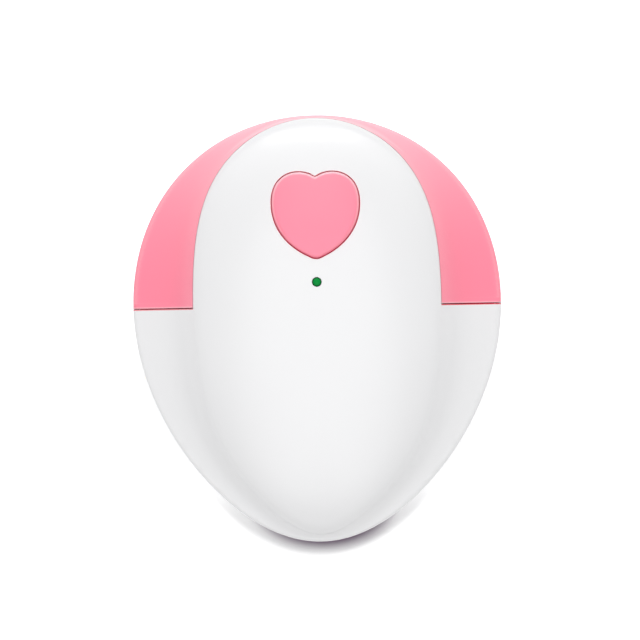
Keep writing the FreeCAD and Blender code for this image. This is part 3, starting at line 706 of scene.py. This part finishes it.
# %% The wheel's ribbed disc
WHEEL_THICKNESS, PIN_RADIUS, RIB_DEPTH, RIBS, PIN_OVERLAP = 2.4, 1.5, 0.3, 40, 0.3
low, high = extent("volume_wheel")
wheel = Grower("thumb_wheel", Radius=(high.x - low.x) / 2 * MM, Thickness=WHEEL_THICKNESS * MM, Ribs=RIBS,
               Rib_Depth=RIB_DEPTH * MM, Pin=PIN_RADIUS * MM,
               Pin_Length=(high.z - low.z - WHEEL_THICKNESS + PIN_OVERLAP) * MM)
here = wheel.made("GeometryNodeInputPosition")
angle = wheel.part(here, "Y").math("ARCTAN2", wheel.part(here, "X"))
crest = (angle * wheel.size("Ribs")).math("COSINE") * 0.5 + 0.5
reach = wheel.size("Radius") - wheel.size("Rib_Depth") * (1 - crest.math("POWER", 0.6))
circle = wheel.made("GeometryNodeMeshCircle", {"fill_type": "NGON"}, Vertices=wheel.size("Ribs") * 8, Radius=1.0)
rim = wheel.made("ShaderNodeVectorMath", {"operation": "SCALE"}, Vector=here, Scale=reach)
ribbed = wheel.made("GeometryNodeSetPosition", Geometry=circle, Position=rim)
raised = wheel.made("GeometryNodeExtrudeMesh", {"mode": "FACES"}, Mesh=ribbed, Offset_Scale=wheel.size("Thickness"),
                    Individual=False)
closed = wheel.joined(wheel.made("GeometryNodeFlipFaces", Mesh=ribbed), raised)
disc = wheel.made("GeometryNodeMergeByDistance", Geometry=closed, Distance=0.001 * MM)
print("the wheel is", round(high.x - low.x, 2), "mm across, with", RIBS, "ribs")

# %% The wheel on its pin
pin = wheel.shifted(wheel.drum(wheel.size("Pin"), wheel.size("Pin_Length")),
                    z=PIN_OVERLAP * MM - wheel.size("Pin_Length"))
centre = ((low.x + high.x) / 2, (low.y + high.y) / 2, high.z - WHEEL_THICKNESS)
ribbed_wheel = grow(wheel, "ribbed_wheel", wheel.joined(disc, pin), black_nylon, [centre], chamfer=0.3)
wears(ribbed_wheel, black_nylon, "volume_wheel", "black_plastic", "volume_wheel")

# %% [markdown]
# ## The back's screws
# A screw's head is a flat drum cut by a large ball, which leaves it slightly domed. Two crossed bars and a cone cut
# the recess for a screwdriver. The four screws all point the same way, so one shape is made upright, turned over
# and put on the four places, which are read from the solid.

# %% One screw
HEAD_RADIUS, HEAD_HEIGHT, SHANK_OVERLAP = 2.4, 1.6, 0.2
low, high = extent("case_screws")
screw = Grower("case_screw", Head=HEAD_RADIUS * MM, Head_Height=HEAD_HEIGHT * MM, Shank=1.25 * MM,
               Shank_Length=(high.z - low.z - HEAD_HEIGHT + SHANK_OVERLAP) * MM, Slot=0.62 * MM,
               Slot_Reach=3.0 * MM, Slot_Depth=1.1 * MM)
head, crown, depth = screw.size("Head"), screw.size("Head_Height"), screw.size("Slot_Depth")
ball = screw.made("GeometryNodeMeshUVSphere", Segments=64, Rings=48, Radius=head * 1.9)
domed = screw.boolean("INTERSECT", screw.drum(head, crown), screw.shifted(ball, z=crown - head * 1.9))
slots = [screw.shifted(screw.bar(*sizes, depth * 2), z=crown) for sizes in
         ((screw.size("Slot_Reach"), screw.size("Slot")), (screw.size("Slot"), screw.size("Slot_Reach")))]
well = screw.shifted(screw.drum(0.25 * MM, depth * 1.2, head * 0.42, 24), z=crown - depth)
shank = screw.shifted(screw.drum(screw.size("Shank"), screw.size("Shank_Length"), sides=32),
                      z=SHANK_OVERLAP * MM - screw.size("Shank_Length"))
upright = screw.joined(screw.boolean("DIFFERENCE", *slots, well, cut_from=domed), shank)
down = screw.shifted(upright, Rotation=(math.pi, 0, 0))
print("a screw is", round(high.z - low.z, 2), "mm long")

# %% Four of them
seats = []
for side in (-1, 1):
    for end in (-1, 1):
        corner = [v.co / MM for v in nodes["case_screws"].data.vertices if v.co.x * side > 0 and v.co.y * end > 0]
        spans = [[point[way] for point in corner] for way in range(2)]
        seats.append(tuple((min(span) + max(span)) / 2 for span in spans) + (low.z + HEAD_HEIGHT,))
wears(grow(screw, "back_screws", down, zinc, seats), zinc, "housing", "plated_steel", "case_screws")

# %% [markdown]
# ## The stage
# Small glossy products are usually set on white paper inside a light tent, so that they are lit from all round. Here
# the world is the tent. Its cloth is brighter near the horizon, where its light reaches the flanks and barely
# shadows the paper. What the gloss sees is a white room with two brighter places: a soft panel overhead, and a
# low window beyond the wide end that draws the bright band along the upper edge. The view transform is Standard,
# so a colour comes out as it is written.

# %% The light tent's tree
class Surround(Tree):
    """The same helper, for the world and for the paper, which have no Principled shader."""

    def __init__(self, tree):
        super().__init__(tree)
        tree.nodes.clear()

    def rays(self, *kinds):
        """1 where a ray is of one of these kinds."""
        path = self.node("ShaderNodeLightPath")
        return sum(Wave(self.tree, path.outputs[f"Is {kind} Ray"]) for kind in kinds).clamp()

    def step(self, value, start, end):
        """A soft step from 0 at start to 1 at end."""
        found = self.node("ShaderNodeMapRange", {"interpolation_type": "SMOOTHSTEP"}, Value=value, From_Min=start,
                          From_Max=end)
        return Wave(self.tree, found.outputs[0])


scene.view_settings.view_transform = "Standard"
print("view transform:", scene.view_settings.view_transform)

# %% The light tent
TENT_TOP, TENT_RISE = 0.36, 0.42
PANEL, WINDOW, STRIP = 1.9, 1.3, 3.5
scene.world = bpy.data.worlds.new("tent")
scene.world.use_nodes = True
tent = Surround(scene.world.node_tree)
way = tent.node("ShaderNodeTexCoord").outputs["Generated"]
height, ahead, aside = tent.part(way, "Z"), tent.part(way, "Y"), tent.part(way, "X").size()
cloth = TENT_TOP + TENT_RISE * (1 - height.clamp())
panel = (1 - tent.step(aside + ahead * 0.5, 0.02, 0.40)) * (1 - tent.step(-1 * ahead, 0.45, 0.85)) * PANEL
window = tent.step(ahead, 0.2, 1.0) * WINDOW + tent.step(ahead, 0.88, 1.0) * STRIP
room = 1 + panel + window
strength = cloth + tent.rays("Glossy", "Transmission") * (room - cloth) + tent.rays("Camera") * (1 - cloth)
sky = tent.node("ShaderNodeBackground", Color=(1, 1, 1, 1), Strength=strength)
tent.node("ShaderNodeOutputWorld", Surface=sky.outputs[0])
print("the tent's cloth goes from", TENT_TOP, "overhead to", TENT_TOP + TENT_RISE, "at the horizon")

# %% [markdown]
# ## The paper
# White paper that keeps the shadow. A little glow, which only the camera and the gloss see, lifts it to plain white,
# less so by the narrow end, where the shadow is deepest. There the paper's own colour is also painted dark purple:
# with the lower glow, a painted shadow in an ellipse at the narrow end's foot. From below the paper is clear, and
# most of the light that goes from the object's underside passes it to the tent, so that the underside can be seen
# too.

# %% Floor
REACH, DROP = 3.0, -0.05 * MM
mesh = bpy.data.meshes.new("floor")
mesh.from_pydata([(-REACH, -REACH, DROP), (REACH, -REACH, DROP), (REACH, REACH, DROP), (-REACH, REACH, DROP)],
                 [], [(0, 1, 2, 3)])
floor = bpy.data.objects.new("floor", mesh)
scene.collection.objects.link(floor)
floor.data.materials.append(bpy.data.materials.new("paper"))
floor.data.materials[0].use_nodes = True
print("the paper lies", round(-DROP / MM, 2), "mm below the object")

# %% Paper
# the glow and the tint of the painted shadow at the narrow end
GLOW_CORE, GLOW_HALO, GLOW_FAR = 0.0, 0.27, 0.50
PAPER_WHITE, SHADOW_TINT = (0.96, 0.96, 0.965), (0.22, 0.145, 0.225)
SHADOW_X, CLEAR_BELOW = 0.8, 0.8
paper = Surround(floor.data.materials[0].node_tree)


def painted_shadow_patch(middle, wide, deep, start):
    """1 inside an ellipse at the narrow end's foot, where the shadow is painted, 0 outside it."""
    across, down = (paper.along("X") - SHADOW_X) * (1 / wide), (paper.along("Y") - middle) * (1 / deep)
    return 1 - paper.step((across * across + down * down).math("SQRT"), start, 1.0)


# painted shadow: the core darkens the paper's own colour, and both masks lower its glow
shadow_core, shadow_halo = painted_shadow_patch(-46, 21, 13, 0.68), painted_shadow_patch(-48, 32, 15, 0.6)
glow = GLOW_FAR + shadow_halo * (GLOW_HALO - GLOW_FAR) + shadow_core * (GLOW_CORE - GLOW_HALO)
lift = paper.node("ShaderNodeEmission", Strength=paper.rays("Camera", "Glossy", "Transmission") * glow)
# the paper's colour, painted dark purple in the core: a painted shadow
matt = paper.node("ShaderNodeBsdfDiffuse", Color=paper.mix(shadow_core, PAPER_WHITE, SHADOW_TINT))
both = paper.node("ShaderNodeAddShader")
paper.feed(both.inputs[0], matt.outputs[0])
paper.feed(both.inputs[1], lift.outputs[0])
below = Wave(paper.tree, paper.node("ShaderNodeNewGeometry").outputs["Backfacing"])
sides = paper.node("ShaderNodeMixShader", Fac=(below + paper.rays("Diffuse") * CLEAR_BELOW).clamp())
paper.feed(sides.inputs[1], both.outputs[0])
paper.feed(sides.inputs[2], paper.node("ShaderNodeBsdfTransparent").outputs[0])
paper.node("ShaderNodeOutputMaterial", Surface=sides.outputs[0])
print("the paper's tree has", len(paper.tree.nodes), "nodes")

# %% [markdown]
# ## Two lamps
# One small lamp stands almost overhead, a little beyond the wide end, and throws the short shadow at the narrow
# end, which the paper's painted shadow deepens. A wide one stands low beyond the wide end. Reflections leave both
# out, because the tent holds what the gloss sees.

# %% Lamps
def lamp(name, elevation, distance, size, watts):
    """A lamp beyond the wide end, aimed at the object's middle."""
    light = bpy.data.lights.new(name, "AREA")
    light.shape = "RECTANGLE"
    light.size, light.size_y = size
    light.energy = watts
    stand = bpy.data.objects.new(name, light)
    scene.collection.objects.link(stand)
    rise = math.radians(elevation)
    stand.location = Vector((0, math.cos(rise), math.sin(rise))) * distance
    stand.rotation_euler = (-stand.location).to_track_quat("-Z", "Y").to_euler()
    stand.visible_glossy = False
    print(name, "lights the middle at", round(watts / (math.pi * distance) ** 2, 2))


lamp("overhead", 80, 1.5, (0.16, 0.16), 11.2)
lamp("low", 20, 1.3, (1.2, 0.35), 1.6)

# %% [markdown]
# ## The camera
# It looks straight down from far above, with a long lens, so the heart on top is barely nearer than the outline.
# One pixel of a 640-pixel frame is a known length at the height of the object's middle, and that gives the lens.

# %% Camera
FRAME, SENSOR = 640, 36
PIXEL = 110 / 426.5 * MM
DISTANCE, MIDDLE_HEIGHT, ROLL = 2.5, 0.02, -1.05
camera = bpy.data.objects.new("camera", bpy.data.cameras.new("camera"))
scene.collection.objects.link(camera)
scene.camera = camera
camera.data.sensor_width = SENSOR
camera.data.lens = SENSOR * (DISTANCE - MIDDLE_HEIGHT) / (FRAME * PIXEL)
camera.location = (2.5 * PIXEL, 8.25 * PIXEL, DISTANCE)
camera.rotation_euler = (0, 0, math.radians(ROLL))
print("the lens is", round(camera.data.lens), "mm long")

# %% [markdown]
